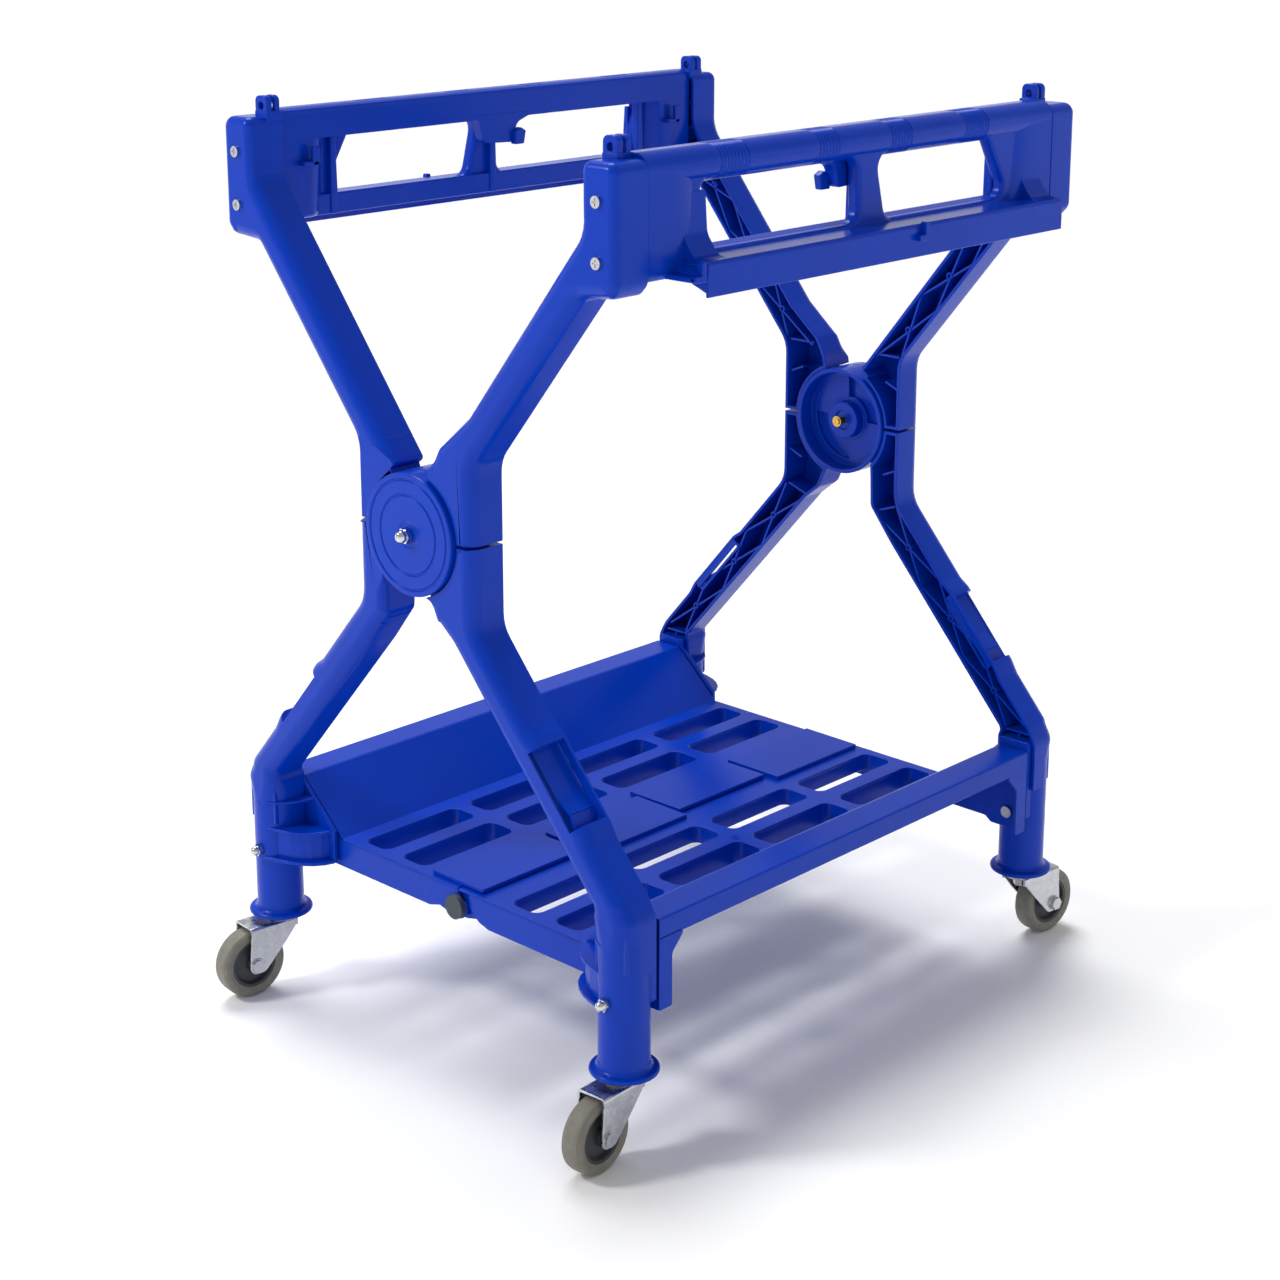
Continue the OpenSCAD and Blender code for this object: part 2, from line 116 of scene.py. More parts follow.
def mesh_of(name, shape, place):
    """The shape as one clean mesh, with each point put where place() says."""
    mesh = bpy.data.meshes.new(name)
    mesh.from_pydata([place(p) for p in shape.points], [], shape.faces)
    work = bmesh.new()
    work.from_mesh(mesh)
    bmesh.ops.remove_doubles(work, verts=work.verts, dist=MERGE)
    bmesh.ops.dissolve_degenerate(work, edges=work.edges, dist=MERGE)
    bmesh.ops.recalc_face_normals(work, faces=work.faces)
    work.to_mesh(mesh)
    work.free()
    return mesh


def carved(shape, tool):
    """The shape with a tool cut out of it, in millimetres."""
    ends = []
    for name, part in (("work", shape), ("tool", tool)):
        holder = bpy.data.objects.new(name, mesh_of(name, part, lambda p: p))
        bpy.context.scene.collection.objects.link(holder)
        ends.append(holder)
    cut = ends[0].modifiers.new("cut", "BOOLEAN")
    cut.operation, cut.solver, cut.object = "DIFFERENCE", "EXACT", ends[1]
    graph = bpy.context.evaluated_depsgraph_get()
    mesh = bpy.data.meshes.new_from_object(ends[0].evaluated_get(graph))
    result = Shape()
    result.add([tuple(v.co) for v in mesh.vertices], [tuple(f.vertices) for f in mesh.polygons])
    for holder in ends:
        old = holder.data
        bpy.data.objects.remove(holder)
        bpy.data.meshes.remove(old)
    bpy.data.meshes.remove(mesh)
    return result


def object_of(name, shape, place, body, replaced, material):
    """Makes the object, rides it on its body and gives it its finish."""
    piece = bpy.data.objects.new(name, mesh_of(name, shape, place))
    bpy.context.scene.collection.objects.link(piece)
    piece.data.materials.append(material)
    for polygon in piece.data.polygons:
        polygon.use_smooth = True
    piece.data.set_sharp_from_angle(angle=SMOOTH_BELOW)
    even = piece.modifiers.new("even_shading", "WEIGHTED_NORMAL")
    even.keep_sharp = True
    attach(piece, body)
    if replaced:
        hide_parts(*replaced)
        remade.update(replaced)
    return piece


# %% [markdown]
# Moulded corners are never sharp. The outline of a part is given as corners, each with its own
# fillet, and this turns it into a fine polyline. Every point remembers how far the front edge is
# rounded beside it, so that a limb can be nearly half round and still end square at a split line.

# %% outlines with fillets
def turned(v):
    return (-v[1], v[0])


def outline(corners, step=9.0):
    """Corners are (x, z, fillet, rounding of the edge that leaves it). Gives points with roundings."""
    n = len(corners)
    area = sum(corners[i][0] * corners[(i + 1) % n][1] - corners[(i + 1) % n][0] * corners[i][1]
               for i in range(n))
    side = 1 if area > 0 else -1
    found = []
    for i, (x, z, r, rounding) in enumerate(corners):
        before, after = corners[i - 1], corners[(i + 1) % n]
        here = Vector((x, z))
        u, v = Vector(before[:2]) - here, Vector(after[:2]) - here
        lu, lv = u.length, v.length
        u.normalize()
        v.normalize()
        turn = u.angle(v)
        if r <= 0 or turn > math.radians(178):
            found.append([(x, z, before[3], rounding)])
            continue
        reach = min(r / math.tan(turn / 2), 0.49 * lu, 0.49 * lv)
        radius = reach * math.tan(turn / 2)
        a, b = here + u * reach, here + v * reach
        centre = here + (u + v).normalized() * (radius / math.sin(turn / 2))
        sweep = math.pi - turn
        k = max(2, int(math.ceil(math.degrees(sweep) / 11)))
        a0 = math.atan2(a.y - centre.y, a.x - centre.x)
        a1 = math.atan2(b.y - centre.y, b.x - centre.x)
        d = (a1 - a0 + math.pi) % (2 * math.pi) - math.pi
        arc = []
        for j in range(k + 1):
            t = j / k
            mix = before[3] * (1 - t) + rounding * t
            arc.append((centre.x + radius * math.cos(a0 + d * t),
                        centre.y + radius * math.sin(a0 + d * t), mix, mix))
        found.append(arc)
    points = []
    for i, group in enumerate(found):
        points += group
        a, b = group[-1], found[(i + 1) % n][0]
        length = math.hypot(b[0] - a[0], b[1] - a[1])
        k = int(length // step) if a[3] > 0 else 0
        for j in range(1, k + 1):
            t = j / (k + 1)
            mix = a[3] * (1 - t) + b[2] * t
            points.append((a[0] + (b[0] - a[0]) * t, a[1] + (b[1] - a[1]) * t, mix, mix))
    return points, side


def inwards(points, side):
    """For every point, the two unit normals of its edges, pointing into the outline."""
    n = len(points)
    normals = []
    for i in range(n):
        pair = []
        for a, b in ((points[i - 1], points[i]), (points[i], points[(i + 1) % n])):
            d = Vector((b[0] - a[0], b[1] - a[1]))
            d.normalize()
            pair.append(Vector(turned(d)) * side)
        normals.append(pair)
    return normals


def inset(points, normals, depth):
    """Moves each point in by depth(rounding), keeping both edges parallel to themselves."""
    moved = []
    for (x, z, r0, r1), (n0, n1) in zip(points, normals):
        d0, d1 = depth(r0), depth(r1)
        dot = n0.dot(n1)
        if dot > 0.95:
            v = (n0 + n1) * ((d0 + d1) / 2 / (1 + dot))
        else:
            det = n0.x * n1.y - n0.y * n1.x
            v = Vector(((d0 * n1.y - d1 * n0.y) / det, (n0.x * d1 - n1.x * d0) / det))
        moved.append((x + v.x, z + v.y))
    return moved


def arc_points(radius, start, end, rounding, k=10):
    return [(radius * math.cos(math.radians(start + (end - start) * j / k)),
             radius * math.sin(math.radians(start + (end - start) * j / k)), 0, rounding)
            for j in range(k + 1)]


print("helpers ready")

# %% [markdown]
# One limb is a half-round shell, open at the back, as an injection moulding of this kind is: a
# 4 mm wall all round, so that it cools evenly. The rings run from the middle of the front, round
# the outer edge, down the wall, over the rim at the back and into the pocket.

# %% limb shell
def limb_shell(shape, corners, depth=42.0, wall=4.0, floor=6.0, turns=8):
    points, side = outline(corners)
    normals = inwards(points, side)
    rings = []
    for k in range(turns, -1, -1):
        t = math.pi / 2 * k / turns
        flat = inset(points, normals, lambda r: r * (1 - math.cos(t)))
        ys = [max(p[2], p[3]) * (1 - math.sin(t)) for p in points]
        rings.append([(x, y, z + hub_z) for (x, z), y in zip(flat, ys)])

    def ring(d, y):
        return [(x, y, z + hub_z) for x, z in inset(points, normals, lambda r: d)]

    rings += [ring(0, depth - 1), ring(0.3, depth - 0.3), ring(1, depth), ring(wall - 1, depth),
              ring(wall - 0.3, depth - 0.3), ring(wall, depth - 1), ring(wall + 0.6, floor + 2.5),
              ring(wall + 1.4, floor)]
    shape.loft(rings)


RIB_TIP = 0.985


def bar(shape, a, b, y0, y1, width, grow=2.0):
    """A straight rib from a to b in X and Z, standing from y0 to y1."""
    d = Vector((b[0] - a[0], b[1] - a[1]))
    d.normalize()
    n = Vector(turned(d)) * width / 2
    d = d * grow
    quad = [(a[0] - d.x + n.x, a[1] - d.y + n.y), (b[0] + d.x + n.x, b[1] + d.y + n.y),
            (b[0] + d.x - n.x, b[1] + d.y - n.y), (a[0] - d.x - n.x, a[1] - d.y - n.y)]
    middle = ((a[0] + b[0]) / 2, (a[1] + b[1]) / 2)
    tip = [tuple(v * RIB_TIP + (1 - RIB_TIP) * m for v, m in zip(p, middle)) for p in quad]
    shape.loft([[(x, y, z + hub_z) for x, z in row]
                for row, y in ((quad, y0), (quad, y1 - 0.5), (tip, y1))])


def lathe_y(shape, centre, profile, steps=64, start=0.0, sweep=360.0):
    """Turns a profile of (radius, y) about an axis along Y through centre (x, z)."""
    full = sweep >= 360
    k = steps if full else max(4, int(steps * sweep / 360))
    if full:
        rings = []
        for r, y in profile:
            rings.append([(centre[0] + r * math.cos(2 * math.pi * j / k), y,
                           centre[1] + r * math.sin(2 * math.pi * j / k)) for j in range(k)])
        shape.loft(rings, caps=(profile[0][0] > 1e-6, profile[-1][0] > 1e-6))
    else:
        rings = []
        for j in range(k + 1):
            a = math.radians(start + sweep * j / k)
            rings.append([(centre[0] + r * math.cos(a), y, centre[1] + r * math.sin(a))
                          for r, y in profile])
        shape.loft(rings)


def lathe_z(shape, centre, profile, steps=48):
    rings = []
    for r, z in profile:
        rings.append([(centre[0] + r * math.cos(2 * math.pi * j / steps),
                       centre[1] + r * math.sin(2 * math.pi * j / steps), z) for j in range(steps)])
    shape.loft(rings, caps=(profile[0][0] > 1e-6, profile[-1][0] > 1e-6))


def soft_profile(points, radius=1.0, k=3):
    """Rounds the inner corners of an open profile of (radius, height)."""
    out = [points[0]]
    for a, p, b in zip(points, points[1:], points[2:]):
        p, u, v = Vector(p), Vector(a) - Vector(p), Vector(b) - Vector(p)
        r = min(radius, u.length * 0.45, v.length * 0.45)
        u.normalize()
        v.normalize()
        for j in range(k + 1):
            t = j / k
            q = (p + u * r) * (1 - t) ** 2 + p * 2 * t * (1 - t) + (p + v * r) * t ** 2
            out.append((q.x, q.y))
    out.append(points[-1])
    return out


# %% [markdown]
# A flat plate with holes, such as the slatted deck or a rail wall, is drawn from its loops: each
# loop gets its own row of rounded edges, and the two faces are filled between them. Drawing the
# rounding here, not with a modifier, keeps large radii clean beside small holes.

# %% plates with holes
def plate(shape, loops, plane, low, high, bevel=0.8, turns=3):
    """Loops of (a, b) points, the outside first; low and high are the heights of the two faces."""
    lift = {"xz": lambda a, b, h: (a, h, b), "yz": lambda a, b, h: (h, a, b),
            "xy": lambda a, b, h: (a, b, h)}[plane]
    quarter = [math.pi / 2 * k / turns for k in range(turns + 1)]
    steps = ([(bevel * (1 - math.cos(t)), low + bevel * (1 - math.sin(t))) for t in quarter[::-1]]
             + [(bevel * (1 - math.cos(t)), high - bevel * (1 - math.sin(t))) for t in quarter])
    first, starts, sizes = [], [], []
    for index, loop in enumerate(loops):
        n = len(loop)
        area = sum(loop[i][0] * loop[(i + 1) % n][1] - loop[(i + 1) % n][0] * loop[i][1]
                   for i in range(n))
        side = (1 if area > 0 else -1) * (-1 if index else 1)
        points = [(a, b, 0, 0) for a, b in loop]
        normals = inwards(points, side)
        rings = [(inset(points, normals, lambda r: d), h) for d, h in steps]
        first.append([Vector((a, b, 0)) for a, b in rings[0][0]])
        starts.append(len(shape.points))
        sizes.append(n)
        shape.loft([[lift(a, b, h) for a, b in flat] for flat, h in rings], caps=(False, False))
    where = [(s, i, n) for s, n in zip(starts, sizes) for i in range(n)]
    last = len(steps) - 1
    for tri in tessellate_polygon(first):
        shape.faces.append(tuple(where[k][0] + where[k][1] for k in tri))
        shape.faces.append(tuple(where[k][0] + last * where[k][2] + where[k][1] for k in tri))


def rounded(corners, r=None):
    """A plain outline of (a, b) points from corners (a, b) or (a, b, fillet)."""
    full = [(c[0], c[1], c[2] if len(c) > 2 else (r or 0), 0) for c in corners]
    return [(p[0], p[1]) for p in outline(full, step=1e9)[0]]


def box_loop(a0, a1, b0, b1, r):
    return rounded([(a0, b0), (a1, b0), (a1, b1), (a0, b1)], r)


print("plates ready")

# %% [markdown]
# The cart is injection moulded polypropylene, coloured right through, from a finely textured tool:
# an even, deep satin blue with soft highlights. Its IOR is 1.49, and the specular level is held low
# so that white surroundings don't wash the colour out. The grain is drawn 0.6 mm wide, coarser than
# the real texture, so that it shows at all. Metals keep the default IOR and have metallic at 1.

# %% materials
def linear(code):
    """An sRGB hex colour as linear red, green, blue and alpha."""
    parts = [int(code[i:i + 2], 16) / 255 for i in (1, 3, 5)]
    return tuple(c / 12.92 if c <= 0.04045 else ((c + 0.055) / 1.055) ** 2.4 for c in parts) + (1,)


def add_node(tree, kind, settings=None, links=None):
    """Adds one node, sets its properties and sockets, and links its inputs."""
    node = tree.nodes.new(kind)
    for name, value in (settings or {}).items():
        if name in node.inputs.keys():
            node.inputs[name].default_value = value
        elif isinstance(name, int):
            node.inputs[name].default_value = value
        else:
            setattr(node, name, value)
    for name, source in (links or {}).items():
        tree.links.new(source, node.inputs[name])
    return node


CALM, BUSY = 0.3, 0.7


def material_of(name, light, dark, mottle_mm, grain_mm, grain_depth_mm, roughness, spread,
                metallic=0.0, ior=1.5, gloss=0.5):
    """A finish with a slow mottle in colour and roughness and a fine grain in its bump."""
    made = bpy.data.materials.new(name)
    made.use_nodes = True
    tree = made.node_tree
    tree.nodes.clear()
    place = add_node(tree, "ShaderNodeTexCoord")
    mottle = add_node(tree, "ShaderNodeTexNoise", {"Scale": 1 / (mottle_mm * MM), "Detail": 4.0},
                      {"Vector": place.outputs["Object"]})
    grain = add_node(tree, "ShaderNodeTexNoise", {"Scale": 1 / (grain_mm * MM), "Detail": 2.0},
                     {"Vector": place.outputs["Object"]})
    tone = add_node(tree, "ShaderNodeValToRGB", None, {"Fac": mottle.outputs["Fac"]})
    tone.color_ramp.elements[0].position = CALM
    tone.color_ramp.elements[0].color = linear(dark)
    tone.color_ramp.elements[1].position = BUSY
    tone.color_ramp.elements[1].color = linear(light)
    rough = add_node(tree, "ShaderNodeMapRange",
                     {"From Min": CALM, "From Max": BUSY, "To Min": roughness - spread,
                      "To Max": roughness + spread}, {"Value": mottle.outputs["Fac"]})
    bump = add_node(tree, "ShaderNodeBump", {"Strength": 0.6, "Distance": grain_depth_mm * MM},
                    {"Height": grain.outputs["Fac"]})
    shader = add_node(tree, "ShaderNodeBsdfPrincipled",
                      {"Metallic": metallic, "IOR": ior, "Specular IOR Level": gloss},
                      {"Base Color": tone.outputs["Color"], "Roughness": rough.outputs["Result"],
                       "Normal": bump.outputs["Normal"]})
    add_node(tree, "ShaderNodeOutputMaterial", None, {"Surface": shader.outputs["BSDF"]})
    return made


moulded_blue_polypropylene = material_of("moulded_blue_polypropylene", "#0038B4", "#0034AC",
                                         140, 0.6, 0.02, 0.23, 0.015, ior=1.49, gloss=0.17)
# Forks, races, axles, the hinge rod, screws and foot bolts: steel, zinc plated and passivated clear.
# It gives a cool satin grey with a fine cloudy mottle.
bright_zinc_plate = material_of("bright_zinc_plate", "#CDCED1", "#BDBFC3", 7, 0.7, 0.03, 0.27, 0.05,
                                metallic=1.0)
# Nuts on the hubs and feet: polished, then plated with nickel and chrome, so they give small hard
# white highlights.
polished_nickel_chrome = material_of("polished_nickel_chrome", "#D8DADC", "#C4C7CA", 8, 1.5, 0.01,
                                     0.10, 0.03, metallic=1.0)
# Bolts of the hubs: zinc plated, then passivated in chromate, which turns them a warm gold.
yellow_zinc_plate = material_of("yellow_zinc_plate", "#D9B35E", "#B88E3C", 5, 0.8, 0.02, 0.28, 0.06,
                                metallic=1.0)
# Caps of the hinge rod: nylon from a spark eroded tool, dark and matt.
moulded_grey_nylon = material_of("moulded_grey_nylon", "#39424B", "#343D46", 12, 0.7, 0.04, 0.55,
                                 0.05)
# Tyres: moulded thermoplastic rubber, a warm grey with only a dull sheen.
grey_non_marking_rubber = material_of("grey_non_marking_rubber", "#7E7B70", "#6E6B62", 9, 0.8, 0.06,
                                      0.62, 0.07, ior=1.52)
# Wheel bodies: moulded polypropylene, dark grey and half matt, so they sit back behind the forks.
dark_moulded_hub_plastic = material_of("dark_moulded_hub_plastic", "#3A3B40", "#2E3035", 10, 0.8,
                                       0.04, 0.5, 0.06)
print("materials", len(bpy.data.materials))

# %% [markdown]
# The two frames of the cart cross like scissors. Each arm runs from a head, which is screwed to a
# rail, through a block beside the hub to a foot on the other side. The outlines below are one arm
# of each type, with the hub at the origin; the outer type carries the disc that shows on the outside
# and the inner type the cup behind it.

# %% arm outlines
LIMB, BLOCK, HEAD, FOOT, SHARP = 14.0, 15.0, 8.5, 24.8, 0.8
RING = 62.5


def upper_limb(s, hub_corners, start, end):
    """s is -1 for a limb that leans left. hub_corners is its side towards the hub bolt."""
    return ([(s * 83, 1.5, 0, BLOCK), (s * 83, 80, 34, LIMB), (s * 226, 256, 14, LIMB),
             (s * 262, 259, 11, HEAD), (s * 272, 270, 11, HEAD), (s * 272, 378, 11, HEAD),
             (s * 230, 378, 9.5, HEAD), (s * 230, 318, 40, LIMB)] + hub_corners
            + arc_points(RING, start, end, SHARP))


def beside(s, t, out):
    """A point on the outer edge of a lower limb, t of the way down and moved out."""
    return (s * (83 + 190 * t + 0.755 * out), -83 - 219 * t + 0.655 * out)


def lower_limb(s, hub_corners, start, end):
    bulge = [(*beside(s, 0.36, 0), 12, LIMB), (*beside(s, 0.405, 3.2), 8, LIMB),
             (*beside(s, 0.735, 3.2), 8, LIMB), (*beside(s, 0.79, 0), 12, LIMB)]
    outside = [(s * 273, -302, 30, 17.0), (s * (foot_x + 25), -320, 30, 18.5),
               (s * (foot_x + 25), -330, 0, 21.0), (s * (foot_x + 25), -338, 0, 23.0),
               (s * (foot_x + 25), -346, 0, FOOT), (s * (foot_x + 25), -374, 0, 0)]
    inside = [(s * (foot_x - 25), -374, 0, FOOT), (s * (foot_x - 25), -346, 0, 23.0),
              (s * (foot_x - 25), -338, 0, 20.5), (s * (foot_x - 25), -330, 0, 18.0),
              (s * (foot_x - 25), -320, 12, 16.0), (s * 236, -312, 18, LIMB)]
    return ([(s * 83, -1.5, 0, BLOCK), (s * 83, -83, 34, LIMB)] + bulge + outside + inside
            + hub_corners + arc_points(RING, start, end, SHARP))


outer_upper = upper_limb(-1, [(-27, 63, 4, 9.0), (-34, 57, 0, SHARP)], 121.2, 178.6)
outer_lower = lower_limb(1, [(50, -100, 22, 14.0), (30, -84, 10, 10.0), (21, -64, 0, SHARP)],
                         -73, -1.4)
inner_upper = upper_limb(1, [(76, 126, 30, LIMB), (36, 92, 14, 12.0), (25, 72, 0, SHARP)], 69, 1.4)
inner_lower = lower_limb(-1, [(-76, -130, 30, LIMB), (-46, -92, 12, 11.0), (-45, -62, 0, SHARP)],
                         225.3, 181.4)


# %% [markdown]
# Inside, each limb is stiffened by crossing ribs with small round ejector bosses where they meet.
# They show on the far frame, whose open side faces inwards.

# %% ribs, foot and top of an arm
def lattice(shape, a0, a1, b0, b1, n, y1=39.0):
    def between(p, q, t):
        return (p[0] + (q[0] - p[0]) * t, p[1] + (q[1] - p[1]) * t)

    across = Vector((b0[0] + b1[0] - a0[0] - a1[0], b0[1] + b1[1] - a0[1] - a1[1])).normalized() * 3.6
    a0, a1 = (a0[0] + across.x, a0[1] + across.y), (a1[0] + across.x, a1[1] + across.y)
    b0, b1 = (b0[0] - across.x, b0[1] - across.y), (b1[0] - across.x, b1[1] - across.y)
    for i in range(n):
        u, v = i / n, (i + 1) / n
        ends = [(between(a0, a1, u), between(b0, b1, v)), (between(b0, b1, u), between(a0, a1, v))]
        for a, b in ends:
            bar(shape, a, b, 7.5, y1, 2.4, grow=0)
        cross = between(between(a0, a1, (u + v) / 2), between(b0, b1, (u + v) / 2), 0.5)
        lathe_y(shape, (cross[0], cross[1] + hub_z), [(0, 5.2), (4.2, 5.2), (4.2, y1 + 0.6),
                (3.6, y1 + 1.2), (2.2, y1 + 1.2), (2.0, y1 - 3), (0, y1 - 3)], 20)


def arm_insides(shape, s_up, s_down):
    for s, z in ((s_up, 1), (s_down, -1)):
        if z > 0:
            lattice(shape, (s * 85, 84), (s * 222, 254), (s * 44, 84), (s * 229, 316), 3)
            for a, b in (((79, 84), (44, 84)), ((79, 46), (60, 54)), ((268, 300), (227, 260)),
                         ((234, 318), (268, 300)), ((234, 345), (268, 345))):
                bar(shape, (s * a[0], a[1]), (s * b[0], b[1]), 11, 38, 2.4, grow=0)
            for h in (855, 908):
                lathe_y(shape, (s * 251, h), [(0, 5), (7, 5), (7, 38), (6.2, 39), (3, 39), (3, 30),
                                              (0, 30)], 28)
            bar(shape, (s * 251, 276), (s * 251, 370), 9, 36.6, 2.4, grow=0)
        else:
            lattice(shape, (s * 85, -87), (s * 270, -302), (s * 54, -106), (s * 238, -311), 3)
            for a, b in (((79, -88), (50, -98)), ((79, -46), (60, -54)), ((240, -312), (275, -312))):
                bar(shape, (s * a[0], a[1]), (s * b[0], b[1]), 11, 38, 2.4, grow=0)
            bar(shape, (s * 258, -314), (s * 258, -345), 20, 38, 2.4, grow=0)


def foot(shape, s):
    """The round socket over the caster with its flange and the bracket that holds the shelf."""
    x, y = s * foot_x, 24.4
    lathe_z(shape, (x, y), soft_profile([(0, 226), (22, 226), (24.9, 216), (25, 96), (27.5, 92.6),
            (33, 91.6), (34, 89.4), (33.4, 87), (20, 87), (20, 92), (0, 92)], 1.4), 64)
    ears = [(262, 155, 3), (262, 246, 6), (246, 243, 8), (187, 190, 5), (187, 155, 3)]
    plate(shape, [rounded([(s * a, b, r) for a, b, r in ears])], "xz", 43, 48, 1.0)
    plate(shape, [box_loop(*sorted((s * (foot_x - 19), s * (foot_x + 20))), 155, 246, 4)], "xz", 30,
          47.6, 1.0)
    # three shelves with a bellied edge; the lower two are joined by a set-back wall
    belly = [(256, -0.6), (246, 0.4), (233, 3.6), (220, 8), (208, 14.5), (198, 23), (191, 33),
             (187.5, 43), (188, 47.5), (256, 47.5)]
    slim = [(256, -0.4), (247, 1), (238, 6), (230, 14), (224, 24), (220, 36), (218.5, 47.5),
            (256, 47.5)]
    for h, thick, edge, back in ((153.5, 4, belly, 1), (187, 3.4, belly, 0.965), (217, 3, slim, 1)):
        loop = [(s * (256 - (256 - a) * back), 47.5 - (47.5 - b) * back) for a, b in edge]
        plate(shape, [rounded([(a, b, 5) for a, b in loop])], "xy", h, h + thick, 1.1)
    wall = [(s * (256 - (256 - a) * 0.88), 47.5 - (47.5 - b) * 0.86) for a, b in belly]
    plate(shape, [rounded([(a, b, 5) for a, b in wall])], "xy", 155, 189, 1.0)


def tab(shape, x):
    """Two prongs with a round eye, standing on a head."""
    lo, hi = x - 9, x + 9
    eye = [(x + 4 * math.cos(a * math.pi / 12), 952 + 4 * math.sin(a * math.pi / 12))
           for a in range(24)]
    up = rounded([(lo, 936, 0.5), (hi, 936, 0.5), (hi, 962, 6), (lo, 962, 6)])
    plate(shape, [up, eye], "xz", 24.2, 31.5, 0.8)
    plate(shape, [up, eye], "xz", 35.2, 40.8, 0.8)
    plate(shape, [box_loop(lo - 0.5, hi + 0.5, 937, 947, 1.2)], "xz", 23.8, 44, 0.8)


# %% [markdown]
# The hub disc has two turned grooves and stands 5 mm proud of the arm. The cup of the other arm
# turns behind it; its floor has two opposite quarter recesses round a centre boss.

# %% hub disc and cup
def hub_disc(shape):
    profile = [(0, -4.2), (12, -4.2), (13.5, -5), (38, -5), (38.6, -3.6), (40.2, -3.6), (40.8, -5),
               (53, -5), (53.6, -3.6), (55.2, -3.6), (55.8, -5), (61, -5), (61, 13.8), (0, 13.8)]
    lathe_y(shape, (0, hub_z), soft_profile(profile, 1.6), 96)


def hub_cup(shape):
    profile = [(0, 14.8), (61, 14.8), (61, 45), (56, 45), (56, 26), (48, 26), (48, 20), (26, 20),
               (26, 26), (21, 26), (21, 38), (11, 38), (11, 36), (0, 36)]
    lathe_y(shape, (0, hub_z), soft_profile(profile, 1.4), 96)
    for start in (2, 182):
        lathe_y(shape, (0, hub_z), [(25.5, 19), (48.5, 19), (48.5, 26), (25.5, 26)], 96, start, 86)


# %% [markdown]
# Half-way down each lower limb a rectangular catch recess is sunk into the outer side, where the
# folded cart is held together. It opens to the front as well. It is cut out of the shell, and a thin
# floor and two end walls that follow the round of the limb close it again. The block beside the
# hub disc is cut 4.6 mm deep in the same way, so that the limb above it stands proud.

# %% recess in the lower limb, sunk block beside the disc
BULGE, SUNK = 3.2, 9.5


def station(s, t, out, y):
    x, z = beside(s, t, out)
    return (x, y, z + hub_z)


def slab(shape, s, t0, t1, section):
    """A section of (out, y) points, swept down the limb from station t0 to t1."""
    shape.loft([[station(s, t, out, y) for out, y in section] for t in (t0, t1)])


def lower_limb_shell(shape, corners, s):
    limb, tool = Shape(), Shape()
    limb_shell(limb, corners)
    slab(tool, s, 0.425, 0.715, [(9, -3), (9, 38.5), (-SUNK, 38.5), (-SUNK, -3)])
    limb = carved(limb, tool)
    shape.add(limb.points, limb.faces)
    slab(shape, s, 0.418, 0.722, [(-SUNK, 1.6), (-SUNK, 41), (-SUNK - 3, 41), (-SUNK - 3, 1.6)])
    slab(shape, s, 0.412, 0.728, [(-0.6, 38.4), (-0.6, 41.6), (-6, 41.6), (-6, 38.4)])
    corner = [(BULGE - LIMB + 13.3 * math.cos(a), LIMB - 13.3 * math.sin(a))
              for a in (math.pi / 2 * k / 6 for k in range(7))]
    for t0, t1 in ((0.412, 0.4255), (0.7145, 0.728)):
        slab(shape, s, t0, t1, corner + [(-SUNK - 2, 0.8), (-SUNK - 2, 40), (BULGE - 0.7, 40)])


def outer_upper_shell(shape):
    limb, tool = Shape(), Shape()
    limb_shell(limb, outer_upper)
    edge = rounded([(-92, -8), (-92, 93), (-80, 85), (-50, 77, 14), (-22, 58), (-40, 44), (-58, -8)])
    tool.loft([[(x, y, z + hub_z) for x, z in edge] for y in (-3, 4.6)])
    limb = carved(limb, tool)
    shape.add(limb.points, limb.faces)


def arm(shape, kind):
    if kind == "outer":
        outer_upper_shell(shape)
        lower_limb_shell(shape, outer_lower, 1)
        arm_insides(shape, -1, 1)
        foot(shape, 1)
        hub_disc(shape)
        tab(shape, -240)
        lathe_y(shape, (0, hub_z), [(58, 4.6), (66, 4.6), (66, 13.4), (58, 13.4)], 96, 122, 55)
        lathe_y(shape, (0, hub_z), [(58, 4.6), (66, 4.6), (66, 13.4), (58, 13.4)], 96, 289, 68)
    else:
        limb_shell(shape, inner_upper)
        lower_limb_shell(shape, inner_lower, -1)
        arm_insides(shape, 1, -1)
        foot(shape, -1)
        hub_cup(shape)
        tab(shape, 243)
        lathe_y(shape, (0, hub_z), [(58, 16), (66, 16), (66, 41), (58, 41)], 96, 3, 64)
        lathe_y(shape, (0, hub_z), [(58, 16), (66, 16), (66, 41), (58, 41)], 96, 183, 40)


for name, kind, place, body, tab_node in (
        ("arm_left_near", "outer", near, "frame_a", "tab_left_near"),
        ("arm_right_far", "outer", far, "frame_b", "tab_right_far"),
        ("arm_right_near", "inner", near, "frame_b", "tab_right_near"),
        ("arm_left_far", "inner", far, "frame_a", "tab_left_far")):
    made = Shape()
    arm(made, kind)
    gone = [n for n in (name, tab_node) if n in frame["nodes"]]
    piece = object_of("moulded_" + name, made, place, body, gone,
                      moulded_blue_polypropylene)
    print(piece.name, len(piece.data.polygons), "faces")

# %% [markdown]
# Each rail is one moulding: a grip with four groups of fine grooves, a wall with two long windows
# for the fingers, and a ledge outside with a turned-down lip that a tray or a bag hem hangs on.

# %% rails
GROOVES = ((134, 176), (271, 303), (379, 413), (497, 537))


